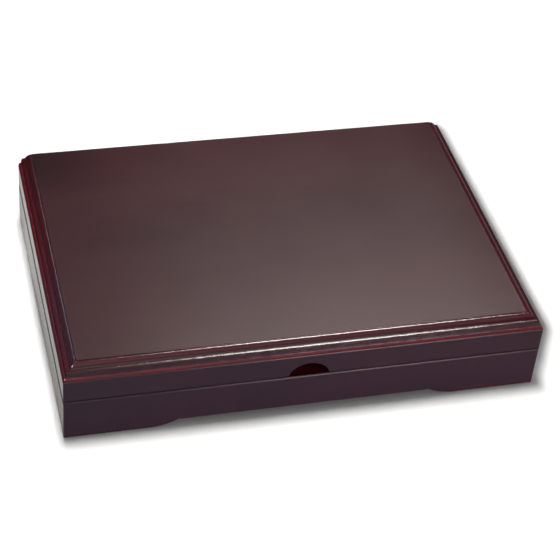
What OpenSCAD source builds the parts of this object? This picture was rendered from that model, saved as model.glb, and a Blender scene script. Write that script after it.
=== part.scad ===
// Coin display case: a mitred wooden box on bracket feet with a moulded, hinged lid,
// a finger notch in the front of the lid and a divided, velvet-lined tray inside.
// Millimetres, +Z up. The origin is on the floor under the middle of the base.
// +X is the user's right, the front faces -Y, the lid is shut.

/* [Case] */
// Width over the base rails
case_w = 330; // [260:1:420]
// Depth over the base rails
case_d = 235; // [190:1:320]
// Thickness of the base and lid rails
rail_t = 11; // [9.5:0.5:15]
// Rounding of the upright outer corners
corner_r = 1; // [0.4:0.1:3]
// Gap between the lid's rim and the base's rim when shut
rim_gap = 0.3; // [0.2:0.1:1]
// Rounding of the rims' outer arrises
rim_r = 0.7; // [0.3:0.1:1.2]
// Rounding of every other long arris on the rails
arris_r = 0.4; // [0.2:0.1:0.8]

/* [Base] */
// Height of the base rails
base_h = 32.6; // [29:0.2:60]
// Thickness of the plywood floor
floor_t = 3.2; // [2.4:0.2:5]
// Height of the floor's underside above the rails' bottom edge
floor_up = 8.2; // [7.6:0.2:12]
// Depth of the floor's groove in the rails
groove_d = 4; // [2.5:0.5:5]
// Play between the floor's edge and the bottom of its groove
floor_play = 0.4; // [0.2:0.1:1]

/* [Feet] */
// Flat length of each bracket foot, from the corner
foot_l = 56; // [40:1:62]
// Height of the cut-out between two feet
foot_h = 5.2; // [4.6:0.1:6.4]
// Radius of the round from a foot's sole up to the cut-out
foot_round_r = 45; // [20:1:60]
// Leg of the glue block behind each foot
block_leg = 20; // [14:1:26]
// Diameter of the felt pads
pad_d = 12; // [8:0.5:16]
// Thickness of the felt pads
pad_t = 1.2; // [0.8:0.1:2]
// How far the pads stand out of their sockets
pad_proud = 0.4; // [0.2:0.1:0.6]
// Distance from the case's sides to a pad's centre
pad_inset = 12; // [10:0.5:15]

/* [Lid] */
// Height of the lid rails
lid_h = 17.3; // [15:0.1:40]
// Thickness of the moulded top panel
panel_t = 8.9; // [8.2:0.1:14]
// Radius of the finger notch in the front rail
notch_r = 14.9; // [9:0.1:24]
// Height of the finger notch above the lid's rim
notch_rise = 10; // [5:0.1:12]
// Chamfer round the mouth of the finger notch
notch_chamfer = 0.5; // [0.2:0.1:1]
// Thickness of the lining board under the top panel
lining_t = 3; // [2:0.5:5]

/* [Moulding] */
// Distance from the front and side rails' faces in to the panel's edge
nose_inset = 0.4; // [0.2:0.1:1]
// Height of the square edge under the round
nose_land = 0.2; // [0.1:0.1:1]
// Radius of the round along the panel's lower edge
nose_r = 1.7; // [1:0.1:3]
// Width of the steep riser from that round up to the ledge
riser_w = 0.7; // [0.2:0.1:1.5]
// Width of the ledge
ledge_w = 2.5; // [1.5:0.1:4]
// Slope of the ledge
ledge_deg = 8; // [4:1:12]
// Height of the upright quirk between the ledge and the bead
quirk_h = 0.3; // [0.2:0.1:0.8]
// Radius of the bead
bead_r = 5.7; // [4:0.1:8]
// Height of the bead above the quirk
bead_h = 2.6; // [1.8:0.1:3]
// Step from the bead's crown up to the flat field
field_step = 0.4; // [0.2:0.1:0.6]

/* [Tray] */
// Compartments from left to right
tray_cols = 6; // [4:1:6]
// Compartments from front to back
tray_rows = 4; // [3:1:4]
// Thickness of the tray's board
tray_board_t = 6; // [3:0.5:7]
// Thickness of the velvet on the board
velvet_t = 0.8; // [0.5:0.1:1.2]
// Height of the tray's walls and dividers
divider_h = 10; // [7:0.5:11]
// Thickness of the dividers
divider_t = 3; // [2:0.5:4]
// Thickness of the tray's walls
tray_wall_t = 3; // [2:0.5:6]
// Play round the tray and round the lid's lining
insert_play = 0.3; // [0.2:0.1:0.8]
// Play in the halving joints of the dividers
halving_play = 0.1; // [0.05:0.05:0.3]

/* [Hinges] */
// Opening angle at which the lid's back bevel meets the base's
lid_open_deg = 100; // [90:1:110]
// Distance from the back face to the hinge axis
axis_inset = 2.6; // [2.5:0.1:3.2]
// Distance from the case's sides to the middle of a hinge
hinge_inset = 62; // [45:1:80]
// Length of a hinge
hinge_l = 38; // [30:1:50]
// Width of a leaf, measured from the axis
leaf_w = 7.6; // [7:0.1:8]
// Thickness of a leaf
leaf_t = 1; // [0.8:0.1:1.4]
// Radius of the knuckles
knuckle_r = 2.2; // [2:0.1:2.4]
// Radius of the hinge pin
pin_r = 1; // [0.8:0.1:1.2]
// Length of the middle knuckle, which belongs to the lid's leaf
mid_knuckle_l = 14; // [10:1:18]
// Gap between two knuckles
knuckle_gap = 0.2; // [0.1:0.1:0.4]
// Distance from the hinge's middle to each screw
screw_offset = 13; // [10:0.5:13.5]
// Radius of a screw's shank
screw_r = 0.9; // [0.7:0.1:1.1]
// Radius of a screw's head
screw_head_r = 1.7; // [1.4:0.1:1.8]
// Length of a screw
screw_l = 7; // [5:0.5:9]

/* [Hidden] */
$fn = 96;
// Overlap that joins two solids, and how far a cutter runs past what it cuts
eps = 0.01;
past = 1;
// Radial play of the lid's knuckle on the pin
pin_play = 0.05;
// Play between the knuckles and their pocket in the wood
pocket_play = 0.2;
// Play round a leaf in its mortice
mortice_play = 0.1;
// Clearance left between the two bevels of the fully open lid
stop_clear = 0.04;

rim_z = pad_proud + base_h;
axis_z = rim_z + rim_gap / 2;
axis_y = case_d / 2 - axis_inset;
lid_z = rim_z + rim_gap;
panel_z = lid_z + lid_h;
floor_z = pad_proud + floor_up;
tray_z = floor_z + floor_t;
velvet_z = tray_z + tray_board_t;
divider_z = velvet_z + velvet_t;
inner_w = case_w - 2 * rail_t;
inner_d = case_d - 2 * rail_t;
tray_w = inner_w - 2 * insert_play;
tray_d = inner_d - 2 * insert_play;
well_w = tray_w - 2 * tray_wall_t;
well_d = tray_d - 2 * tray_wall_t;
pitch_x = (well_w + divider_t) / tray_cols;
pitch_y = (well_d + divider_t) / tray_rows;
screw_y = axis_y - (knuckle_r + leaf_w) / 2;

// The moulding's outline, from the outer edge inwards: u across, v up from the underside
nose_u = nose_inset + nose_r;
nose_v = nose_land + nose_r;
ledge_u = nose_u + riser_w;
quirk_u = ledge_u + ledge_w;
crown_u = quirk_u + sqrt(pow(bead_r, 2) - pow(bead_r - bead_h, 2));
crown_v = panel_t - field_step;
quirk_v = crown_v - bead_h - quirk_h;
ledge_v = quirk_v - ledge_w * tan(ledge_deg);

wood = "#4a1c20";
dark_wood = "#3a171b";
plywood = "#a9825a";
velvet = "#5c1220";
brass = "#b8923f";
felt = "#26262a";

long_dividers = [for (i = [1 : tray_rows - 1]) str("long_divider_", i)];
cross_dividers = [for (i = [1 : tray_cols - 1]) str("cross_divider_", i)];

// Moves a piece made along the front edge, outer face at y = 0, to one side of the case
module on_side(side) {
    turn = side == "front" ? 0 : side == "right" ? 90 : side == "back" ? 180 : -90;
    reach = side == "front" || side == "back" ? case_d / 2 : case_w / 2;
    rotate([0, 0, turn]) translate([0, -reach, 0]) children();
}

function side_length(side) = side == "front" || side == "back" ? case_w : case_d;

// Takes a corner of a section off to a round; the corner is at the origin, the section in +x +y
module round_cut(r) {
    difference() {
        translate([-eps, -eps]) square(r + eps);
        translate([r, r]) circle(r = r);
    }
}

// Section of a rail: x inwards from the outer face, y up
module rail_section(h, top_out, bottom_out, inside) {
    difference() {
        square([rail_t, h]);
        translate([0, h]) mirror([0, 1]) round_cut(top_out);
        round_cut(bottom_out);
        translate([rail_t, h]) rotate(180) round_cut(inside);
        translate([rail_t, 0]) mirror([1, 0]) round_cut(inside);
    }
}

// Outline of the case with its rounded upright corners
module case_outline() {
    x = case_w / 2 - corner_r;
    y = case_d / 2 - corner_r;
    square([2 * x, case_d], center = true);
    square([case_w, 2 * y], center = true);
    for (sx = [-1, 1], sy = [-1, 1]) translate([sx * x, sy * y]) circle(r = corner_r);
}

// Straight rail with mitred ends, made along the front edge
module mitred_rail(length, h, top_out, bottom_out, inside) {
    half = length / 2;
    intersection() {
        translate([-half, 0, 0]) rotate([90, 0, 90])
            linear_extrude(length) rail_section(h, top_out, bottom_out, inside);
        translate([0, 0, -past]) linear_extrude(h + 2 * past)
            polygon([[-half, 0], [half, 0], [half - rail_t, rail_t], [-half + rail_t, rail_t]]);
    }
}

// Cut between two feet: flat on top, its ends rounding down to the soles
module foot_cut(length) {
    half = length / 2 - foot_l;
    translate([0, rail_t + past, pad_proud]) rotate([90, 0, 0]) linear_extrude(rail_t + 2 * past)
        difference() {
            translate([-half, -past]) square([2 * half, foot_h + past]);
            for (s = [-1, 1]) translate([s * half, foot_round_r]) circle(r = foot_round_r);
        }
}

// Wedge taken off the back of the base and, mirrored, of the lid: the lid stops on these bevels
module back_bevel() {
    reach = axis_inset + past;
    drop = reach * tan(lid_open_deg / 2);
    lift = stop_clear / cos(lid_open_deg / 2);
    translate([-case_w / 2 - past, axis_y, axis_z]) rotate([90, 0, 90])
        linear_extrude(case_w + 2 * past)
            polygon([[0, -lift], [reach, -drop - lift], [reach, rim_gap], [0, rim_gap]]);
}

module lid_bevel() {
    translate([0, 0, 2 * axis_z]) mirror([0, 0, 1]) back_bevel();
}

module at_hinges() {
    for (s = [-1, 1]) translate([s * (case_w / 2 - hinge_inset), 0, 0]) children();
}

// Pocket round the knuckles
module knuckle_pocket() {
    l = hinge_l + 2 * mortice_play;
    translate([-l / 2, axis_y, axis_z]) rotate([0, 90, 0])
        cylinder(r = knuckle_r + pocket_play, h = l);
}

// Mortice of a leaf in the base's rim
module leaf_mortice() {
    l = hinge_l + 2 * mortice_play;
    w = leaf_w + mortice_play;
    translate([-l / 2, axis_y - w, rim_z - leaf_t]) cube([l, w, leaf_t + past]);
}

// Screws of one leaf stand at these places, heads up in the base's leaf
module at_screws() {
    for (s = [-1, 1]) translate([s * screw_offset, screw_y, rim_z]) children();
}

module screw_solid() {
    head_h = screw_head_r - screw_r;
    translate([0, 0, -head_h]) cylinder(r1 = screw_r, r2 = screw_head_r, h = head_h);
    translate([0, 0, -screw_l]) cylinder(r = screw_r, h = screw_l - head_h);
}

module hinge_cuts() {
    at_hinges() {
        knuckle_pocket();
        leaf_mortice();
        at_screws() screw_solid();
    }
}

module pad_sockets() {
    for (sx = [-1, 1], sy = [-1, 1])
        translate([sx * (case_w / 2 - pad_inset), sy * (case_d / 2 - pad_inset), 0])
            cylinder(d = pad_d, h = pad_t);
}

module base_rail(side) {
    length = side_length(side);
    color(wood) difference() {
        intersection() {
            on_side(side) difference() {
                translate([0, 0, pad_proud]) mitred_rail(length, base_h, rim_r, arris_r, arris_r);
                foot_cut(length);
                translate([-length / 2, rail_t - groove_d, floor_z]) cube([length, groove_d + past, floor_t]);
            }
            linear_extrude(rim_z + past) case_outline();
        }
        pad_sockets();
        if (side != "front") back_bevel();
        if (side == "back") hinge_cuts();
    }
}

module base_floor() {
    w = inner_w + 2 * (groove_d - floor_play);
    d = inner_d + 2 * (groove_d - floor_play);
    color(plywood) translate([-w / 2, -d / 2, floor_z]) cube([w, d, floor_t]);
}

// Glue block behind one foot, numbered round the case from the front left
module corner_block(index) {
    sx = index == 1 || index == 4 ? -1 : 1;
    sy = index < 3 ? -1 : 1;
    color(dark_wood) difference() {
        translate([0, 0, pad_proud]) linear_extrude(floor_up)
            scale([sx, sy]) translate([inner_w / 2, inner_d / 2])
                polygon([[0, 0], [-block_leg, 0], [0, -block_leg]]);
        pad_sockets();
    }
}

module felt_pad(index) {
    sx = index == 1 || index == 4 ? -1 : 1;
    sy = index < 3 ? -1 : 1;
    color(felt) translate([sx * (case_w / 2 - pad_inset), sy * (case_d / 2 - pad_inset), 0])
        cylinder(d = pad_d, h = pad_t);
}

module tray_board() {
    color(dark_wood) translate([-tray_w / 2, -tray_d / 2, tray_z]) cube([tray_w, tray_d, tray_board_t]);
}

module tray_velvet() {
    color(velvet) translate([-tray_w / 2, -tray_d / 2, velvet_z]) cube([tray_w, tray_d, velvet_t]);
}

// The front and back walls run the full width, the side walls stand between them
module tray_end_wall(s) {
    y = s < 0 ? -tray_d / 2 : tray_d / 2 - tray_wall_t;
    color(velvet) translate([-tray_w / 2, y, divider_z]) cube([tray_w, tray_wall_t, divider_h]);
}

module tray_side_wall(s) {
    x = s < 0 ? -tray_w / 2 : tray_w / 2 - tray_wall_t;
    color(velvet) translate([x, -well_d / 2, divider_z]) cube([tray_wall_t, well_d, divider_h]);
}

function divider_x(i) = -well_w / 2 + i * pitch_x - divider_t / 2;
function divider_y(i) = -well_d / 2 + i * pitch_y - divider_t / 2;

// Long dividers are slotted from above, cross dividers from below
module long_divider(i) {
    slot = divider_t + 2 * halving_play;
    color(velvet) difference() {
        translate([-well_w / 2, divider_y(i) - divider_t / 2, divider_z]) cube([well_w, divider_t, divider_h]);
        for (k = [1 : tray_cols - 1])
            translate([divider_x(k) - slot / 2, divider_y(i) - divider_t, divider_z + divider_h / 2])
                cube([slot, 2 * divider_t, divider_h]);
    }
}

module cross_divider(i) {
    slot = divider_t + 2 * halving_play;
    color(velvet) difference() {
        translate([divider_x(i) - divider_t / 2, -well_d / 2, divider_z]) cube([divider_t, well_d, divider_h]);
        for (k = [1 : tray_rows - 1])
            translate([divider_x(i) - divider_t, divider_y(k) - slot / 2, divider_z - divider_h / 2])
                cube([2 * divider_t, slot, divider_h]);
    }
}

// Knuckles on the axis between two places along it
module knuckle(from, to) {
    translate([from, axis_y, axis_z]) rotate([0, 90, 0]) cylinder(r = knuckle_r, h = to - from);
}

module pin_bore(r) {
    translate([-hinge_l, axis_y, axis_z]) rotate([0, 90, 0]) cylinder(r = r, h = 2 * hinge_l);
}

// Flat leaf under the rim plane with its own knuckles; the other leaf's knuckles clear it
module base_leaf_solid() {
    tail = knuckle_r + pocket_play;
    outer = hinge_l / 2;
    inner = mid_knuckle_l / 2 + knuckle_gap;
    difference() {
        union() {
            translate([-outer, axis_y - leaf_w, rim_z - leaf_t]) cube([hinge_l, leaf_w - tail, leaf_t]);
            for (x = [-outer, inner]) {
                knuckle(x, x + outer - inner);
                translate([x, axis_y - tail - eps, rim_z - leaf_t]) cube([outer - inner, tail, leaf_t]);
            }
        }
        pin_bore(pin_r);
        at_screws() screw_solid();
    }
}

module lid_leaf_solid() {
    tail = knuckle_r + pocket_play;
    half = mid_knuckle_l / 2;
    difference() {
        union() {
            translate([-hinge_l / 2, axis_y - leaf_w, lid_z]) cube([hinge_l, leaf_w - tail, leaf_t]);
            knuckle(-half, half);
            translate([-half, axis_y - tail - eps, lid_z]) cube([mid_knuckle_l, tail, leaf_t]);
        }
        pin_bore(pin_r + pin_play);
        flip_to_lid() at_screws() screw_solid();
    }
}

// Mirrors a shape in the base's rim to the same place in the lid's rim
module flip_to_lid() {
    translate([0, 0, 2 * axis_z]) mirror([0, 0, 1]) children();
}

module at_hinge(s) {
    translate([s * (case_w / 2 - hinge_inset), 0, 0]) children();
}

module base_leaf(s) {
    color(brass) at_hinge(s) base_leaf_solid();
}

module lid_leaf(s) {
    color(brass) at_hinge(s) lid_leaf_solid();
}

module hinge_pin(s) {
    color(brass) at_hinge(s) translate([-hinge_l / 2, axis_y, axis_z]) rotate([0, 90, 0])
        cylinder(r = pin_r, h = hinge_l);
}

module base_hinge_screws() {
    color(brass) at_hinges() at_screws() screw_solid();
}

module lid_hinge_screws() {
    color(brass) flip_to_lid() at_hinges() at_screws() screw_solid();
}

// The moulding is cut with four cutters; each takes off what lies above its own stretch
module nose_cut() {
    difference() {
        translate([nose_inset - past, nose_land]) square([nose_r + past, panel_t + past]);
        translate([nose_u, nose_land]) circle(r = nose_r);
    }
}

module riser_cut() {
    polygon([[nose_u, nose_v], [ledge_u, ledge_v], [ledge_u, panel_t + past], [nose_u - past, panel_t + past]]);
}

module ledge_cut() {
    polygon([[ledge_u, ledge_v], [quirk_u, quirk_v], [quirk_u, panel_t + past], [ledge_u - past, panel_t + past]]);
}

module bead_cut() {
    difference() {
        translate([quirk_u, quirk_v]) square([crown_u - quirk_u, panel_t]);
        translate([crown_u, crown_v - bead_r]) circle(r = bead_r);
    }
}

module along_moulded_edges() {
    for (side = ["front", "left", "right"])
        on_side(side) translate([-case_w, 0, 0]) rotate([90, 0, 90]) linear_extrude(2 * case_w) children();
}

// Moulded on the front and the sides, cut flush with the rail at the back
module lid_panel() {
    w = case_w - 2 * nose_inset;
    color(wood) translate([0, 0, panel_z]) difference() {
        translate([-w / 2, -case_d / 2 + nose_inset, 0]) cube([w, case_d - nose_inset, panel_t]);
        along_moulded_edges() nose_cut();
        along_moulded_edges() riser_cut();
        along_moulded_edges() ledge_cut();
        along_moulded_edges() bead_cut();
    }
}

// Round finger notch through the front rail, with a chamfered mouth
module finger_notch() {
    z = lid_z + notch_rise - notch_r;
    translate([0, -case_d / 2, z]) rotate([-90, 0, 0]) {
        translate([0, 0, -past]) cylinder(r = notch_r, h = rail_t + 2 * past);
        translate([0, 0, -past])
            cylinder(r1 = notch_r + notch_chamfer + past, r2 = notch_r, h = notch_chamfer + past);
    }
}

module lid_rail(side) {
    color(wood) difference() {
        intersection() {
            on_side(side) translate([0, 0, lid_z])
                mitred_rail(side_length(side), lid_h, arris_r, rim_r, arris_r);
            translate([0, 0, lid_z - past]) linear_extrude(lid_h + 2 * past) case_outline();
        }
        if (side == "front") finger_notch();
        if (side != "front") lid_bevel();
        if (side == "back") flip_to_lid() hinge_cuts();
    }
}

module lid_lining() {
    color(velvet) translate([-tray_w / 2, -tray_d / 2, panel_z - lining_t])
        cube([tray_w, tray_d, lining_t]);
}

base_rail("front");  // base_front_rail
base_rail("back");  // base_back_rail
base_rail("left");  // base_left_rail
base_rail("right");  // base_right_rail
base_floor();
for (i = [1 : 4]) corner_block(i);
for (i = [1 : 4]) felt_pad(i);
tray_board();
tray_velvet();
tray_end_wall(-1);  // tray_front_wall
tray_end_wall(1);  // tray_back_wall
tray_side_wall(-1);  // tray_left_wall
tray_side_wall(1);  // tray_right_wall
for (i = [1 : tray_rows - 1]) long_divider(i);
for (i = [1 : tray_cols - 1]) cross_divider(i);
base_leaf(-1);  // hinge_left_base_leaf
hinge_pin(-1);  // hinge_left_pin
base_leaf(1);  // hinge_right_base_leaf
hinge_pin(1);  // hinge_right_pin
base_hinge_screws();
lid_panel();
lid_rail("front");  // lid_front_rail
lid_rail("back");  // lid_back_rail
lid_rail("left");  // lid_left_rail
lid_rail("right");  // lid_right_rail
lid_lining();
lid_leaf(-1);  // hinge_left_lid_leaf
lid_leaf(1);  // hinge_right_lid_leaf
lid_hinge_screws();
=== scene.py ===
import math

import bmesh
import bpy
import numpy as np
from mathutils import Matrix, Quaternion, Vector


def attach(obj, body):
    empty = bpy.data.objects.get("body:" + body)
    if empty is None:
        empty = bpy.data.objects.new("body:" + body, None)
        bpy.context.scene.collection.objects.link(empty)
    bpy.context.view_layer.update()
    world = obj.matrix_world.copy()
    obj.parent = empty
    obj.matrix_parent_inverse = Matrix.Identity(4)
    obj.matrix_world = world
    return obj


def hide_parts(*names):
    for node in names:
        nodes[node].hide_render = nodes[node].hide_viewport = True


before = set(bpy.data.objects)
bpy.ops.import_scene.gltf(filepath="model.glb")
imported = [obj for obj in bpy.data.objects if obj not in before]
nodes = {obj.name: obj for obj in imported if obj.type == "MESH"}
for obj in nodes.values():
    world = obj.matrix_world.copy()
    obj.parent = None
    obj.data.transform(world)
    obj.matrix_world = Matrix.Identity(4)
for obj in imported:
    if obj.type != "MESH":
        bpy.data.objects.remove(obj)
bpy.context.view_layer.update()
print("frame loaded:", len(nodes), "nodes")

mm = 0.001

# sizes of the case that the finishes and the new pieces follow, in metres
case = {
    "halfWidth": 165 * mm,
    "halfDepth": 117.5 * mm,
    "rimZ": 33.0 * mm,
    "lidZ": 33.3 * mm,
    "panelZ": 50.6 * mm,
    "topZ": 59.5 * mm,
}


# small helpers

def addNode(tree, kind, **values):
    node = tree.nodes.new(kind)
    for key, value in values.items():
        setattr(node, key, value)
    return node


def wire(tree, source, target):
    tree.links.new(source, target)


def feed(tree, value, socket):
    # a plain number or colour is set on the socket, and another socket is wired to it
    if isinstance(value, (int, float)):
        socket.default_value = value
    elif isinstance(value, tuple):
        socket.default_value = (*value, 1)
    else:
        wire(tree, value, socket)


def mathNode(tree, operation, a, b=None):
    # one Math node; a and b are sockets or plain numbers
    node = addNode(tree, "ShaderNodeMath", operation=operation)
    feed(tree, a, node.inputs[0])
    if b is not None:
        feed(tree, b, node.inputs[1])
    return node.outputs[0]


def plus(tree, a, b):
    return mathNode(tree, "ADD", a, b)


def minus(tree, a, b):
    return mathNode(tree, "SUBTRACT", a, b)


def times(tree, a, b):
    return mathNode(tree, "MULTIPLY", a, b)


def unsigned(tree, a):
    return mathNode(tree, "ABSOLUTE", a)


def axesOf(tree, vector):
    parts = addNode(tree, "ShaderNodeSeparateXYZ")
    wire(tree, vector, parts.inputs[0])
    return parts.outputs


def mapRange(tree, value, low, high, toLow, toHigh, smooth=False):
    node = addNode(tree, "ShaderNodeMapRange")
    node.interpolation_type = "SMOOTHSTEP" if smooth else "LINEAR"
    wire(tree, value, node.inputs["Value"])
    for name, number in (("From Min", low), ("From Max", high), ("To Min", toLow), ("To Max", toHigh)):
        feed(tree, number, node.inputs[name])
    return node.outputs["Result"]


def mixColour(tree, factor, a, b):
    node = addNode(tree, "ShaderNodeMix", data_type="RGBA")
    for place, value in ((0, factor), (6, a), (7, b)):  # the node's sockets for a factor and two colours
        feed(tree, value, node.inputs[place])
    return node.outputs[2]


def noiseAt(tree, vector, scale, detail=3.0, roughness=0.5, stretch=None):
    # noise on a vector; stretch scales the vector first, one number an axis
    if stretch:
        mapping = addNode(tree, "ShaderNodeMapping")
        mapping.inputs["Scale"].default_value = stretch
        wire(tree, vector, mapping.inputs["Vector"])
        vector = mapping.outputs["Vector"]
    node = addNode(tree, "ShaderNodeTexNoise")
    node.inputs["Scale"].default_value = scale
    node.inputs["Detail"].default_value = detail
    node.inputs["Roughness"].default_value = roughness
    wire(tree, vector, node.inputs["Vector"])
    return node.outputs["Fac"]


def newGroup(name, numbers, results, colours=()):
    # a shader node group that takes a Vector and named numbers with their usual values, and returns results
    tree = bpy.data.node_groups.new(name, "ShaderNodeTree")
    tree.interface.new_socket("Vector", in_out="INPUT", socket_type="NodeSocketVector")
    for socketName, value in numbers.items():
        socket = tree.interface.new_socket(socketName, in_out="INPUT", socket_type="NodeSocketFloat")
        socket.default_value = value
    for socketName in results:
        tree.interface.new_socket(socketName, in_out="OUTPUT", socket_type="NodeSocketFloat")
    for socketName in colours:
        tree.interface.new_socket(socketName, in_out="OUTPUT", socket_type="NodeSocketColor")
    return tree, addNode(tree, "NodeGroupInput").outputs, addNode(tree, "NodeGroupOutput").inputs


def placeGroup(tree, group, vector, **values):
    node = addNode(tree, "ShaderNodeGroup", node_tree=group)
    wire(tree, vector, node.inputs["Vector"])
    for key, value in values.items():
        feed(tree, value, node.inputs[key])
    return node.outputs


def newMaterial(name, roughness, **values):
    # a material with one Principled shader; values are set on its own sockets
    material = bpy.data.materials.new(name)
    material.use_nodes = True
    tree = material.node_tree
    tree.nodes.clear()
    shader = addNode(tree, "ShaderNodeBsdfPrincipled")
    out = addNode(tree, "ShaderNodeOutputMaterial")
    wire(tree, shader.outputs[0], out.inputs[0])
    shader.inputs["Roughness"].default_value = roughness
    for key, value in values.items():
        shader.inputs[key].default_value = value
    return material, tree, shader.inputs


def objectCoords(tree, turn=0.0):
    # Object coordinates, turned about Z so that X lies along the grain
    coords = addNode(tree, "ShaderNodeTexCoord").outputs["Object"]
    if not turn:
        return coords
    mapping = addNode(tree, "ShaderNodeMapping")
    mapping.inputs["Rotation"].default_value = (0, 0, turn)
    wire(tree, coords, mapping.inputs["Vector"])
    return mapping.outputs["Vector"]


def bumpInto(tree, shaderInputs, height, strength, distance):
    bump = addNode(tree, "ShaderNodeBump")
    bump.inputs["Strength"].default_value = strength
    bump.inputs["Distance"].default_value = distance
    wire(tree, height, bump.inputs["Height"])
    wire(tree, bump.outputs["Normal"], shaderInputs["Normal"])


def paint(material, *names):
    # gives CAD nodes their finish
    for name in names:
        mesh = nodes[name].data
        mesh.materials.clear()
        mesh.materials.append(material)


def meshObject(name, points, faces, material, smooth=True, sharpDeg=35, merge=False):
    # merge joins points that fall together, where a profile carried along a path jumps in height
    mesh = bpy.data.meshes.new(name)
    mesh.from_pydata(np.asarray(points, float).tolist(), [], [list(map(int, f)) for f in faces])
    if merge:
        work = bmesh.new()
        work.from_mesh(mesh)
        bmesh.ops.remove_doubles(work, verts=work.verts, dist=1e-6)
        work.to_mesh(mesh)
        work.free()
    mesh.validate()
    if smooth:
        mesh.polygons.foreach_set("use_smooth", np.ones(len(mesh.polygons), bool))
        mesh.set_sharp_from_angle(angle=math.radians(sharpDeg))
    mesh.materials.append(material)
    made = bpy.data.objects.new(name, mesh)
    bpy.context.scene.collection.objects.link(made)
    return made


def gridQuads(index, flip=False):
    # quads between neighbouring points of a grid of point numbers; flip turns them to face the other way
    a, b, c, d = index[:-1, :-1], index[1:, :-1], index[1:, 1:], index[:-1, 1:]
    return np.stack([a, d, c, b] if flip else [a, b, c, d], -1).reshape(-1, 4).tolist()


def closedRings(index):
    # each row of point numbers comes round to its first point again
    return np.hstack([index, index[:, :1]])


# camera and studio

cameraPlan = {
    "place": (-0.26698, -0.89022, 0.81108),
    "aim": (0.00467, -0.01645, 0.03),
    "rollDeg": 5.628,
    "lens": 108.18,
    "sensor": 36,
    "clip": (0.02, 60),
}


def facing(place, aim):
    # the rotation of a camera or lamp at place that looks at aim
    return (Vector(aim) - Vector(place)).to_track_quat("-Z", "Y")


cameraData = bpy.data.cameras.new("camera")
cameraData.lens = cameraPlan["lens"]
cameraData.sensor_width = cameraPlan["sensor"]
cameraData.clip_start, cameraData.clip_end = cameraPlan["clip"]
camera = bpy.data.objects.new("camera", cameraData)
bpy.context.scene.collection.objects.link(camera)
camera.location = cameraPlan["place"]
camera.rotation_mode = "QUATERNION"
roll = Quaternion((0, 0, 1), math.radians(cameraPlan["rollDeg"]))
camera.rotation_quaternion = facing(camera.location, cameraPlan["aim"]) @ roll
bpy.context.scene.camera = camera
print("camera placed")

lights = [
    # name, place, aim, size x, size y, power in watts, colour,
    # whether it lights matt surfaces, whether gloss shows it
    ("keyBank", (-0.089, 0.14, 1.6), (-0.089, 0.14, 0), 0.268, 0.44, 32.5, (1, 0.99, 0.98), True, False),
    ("backBank", (0.66, 1.15, 2.15), (0.05, -0.1, 0.05), 0.6, 0.36, 28, (1, 0.94, 0.9), False, True),
    ("cornerBank", (-0.9, 0.1, 2.0), (-0.16, -0.11, 0.05), 0.5, 0.5, 110, (1, 1, 1), False, True),
    ("leftStrip", (-0.45, 2.2, 2.0), (-0.16, 0, 0.05), 0.12, 0.4, 1.3, (1, 0.9, 1), False, True),
    ("topSoft", (0, -0.85, 2.2), (0, -0.85, 0), 2.4, 1.5, 7, (1, 0.88, 0.96), False, True),
    ("frontFill", (0.1, -2.2, 1.5), (0, 0, 0), 1.6, 0.9, 5, (1, 0.98, 1), True, True),
]


def addLight(name, place, aim, sizeX, sizeY, power, colour, matt, gloss):
    data = bpy.data.lights.new(name, "AREA")
    data.shape = "RECTANGLE"
    data.size, data.size_y = sizeX, sizeY
    data.energy = power
    data.color = colour
    light = bpy.data.objects.new(name, data)
    bpy.context.scene.collection.objects.link(light)
    light.location = place
    light.rotation_mode = "QUATERNION"
    light.rotation_quaternion = facing(place, aim)
    light.visible_diffuse = matt
    light.visible_glossy = gloss


for entry in lights:
    addLight(*entry)


def hideFrom(made, *rays):
    for ray in rays:
        setattr(made, f"visible_{ray}", False)


studioFloor = {
    "half": 6.0,
    "colour": (0.86, 0.86, 0.86),
    "dimShare": 0.985,  # of that colour, where its faint mottling is darkest
    "glow": (0.8, 0.8, 0.8),
    "glowFrom": 0.5,  # distances from the case between which the floor's painted light, its own glow, rises
    "glowTo": 1.6,
}


def floorMaterial():
    material, tree, shader = newMaterial("paleFloor", 0.9)
    coords = objectCoords(tree)
    dim = tuple(c * studioFloor["dimShare"] for c in studioFloor["colour"])
    wire(tree, mixColour(tree, noiseAt(tree, coords, 3.0), dim, studioFloor["colour"]), shader["Base Color"])
    shader["Specular IOR Level"].default_value = 0.0
    # painted light: far from the case the floor glows, though it is no lamp, so it stays white; near the case
    # it has no glow
    away = addNode(tree, "ShaderNodeVectorMath", operation="LENGTH")
    wire(tree, coords, away.inputs[0])
    stretch = studioFloor["glowFrom"], studioFloor["glowTo"]
    rise = mapRange(tree, away.outputs["Value"], *stretch, 0.0, 1.0, smooth=True)
    wire(tree, mixColour(tree, rise, (0, 0, 0), studioFloor["glow"]), shader["Emission Color"])
    shader["Emission Strength"].default_value = 1.0
    return material


half = studioFloor["half"]
floor = meshObject("floor", [(-half, -half, 0), (half, -half, 0), (half, half, 0), (-half, half, 0)],
                   [(0, 1, 2, 3)], floorMaterial(), smooth=False)

card = {
    "z": 0.0004,
    "reach": 1.5,
    "left": -0.17,
    "right": 0.168,
    "near": -0.1185,
    "slant": 0.4,  # how far the left end of the front part runs back from the case's side
    "shaded": (0.36, 0.28, 0.43),  # its colour close to the case, where the case shades it
    "open": (0.47, 0.4, 0.53),
    "openAt": 0.06,  # distance from the case at which the shade ends
    "beside": (0.36, 0.33, 0.36),
    "besideAt": 0.03,
    "stripIn": -0.1655,
    "stripOut": -0.18,
    "stripBack": 0.2,
    "stripPales": -0.168,  # from here outwards the strip turns as bright as the floor
    "stripFront": (0.46, 0.455, 0.425),
    "stripRear": (0.78, 0.775, 0.735),
    "stripBright": (0.83, 0.83, 0.81),
    "stripTurn": (-0.09, 0.07),  # between these y the strip's front colour changes to its rear colour
}


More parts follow.
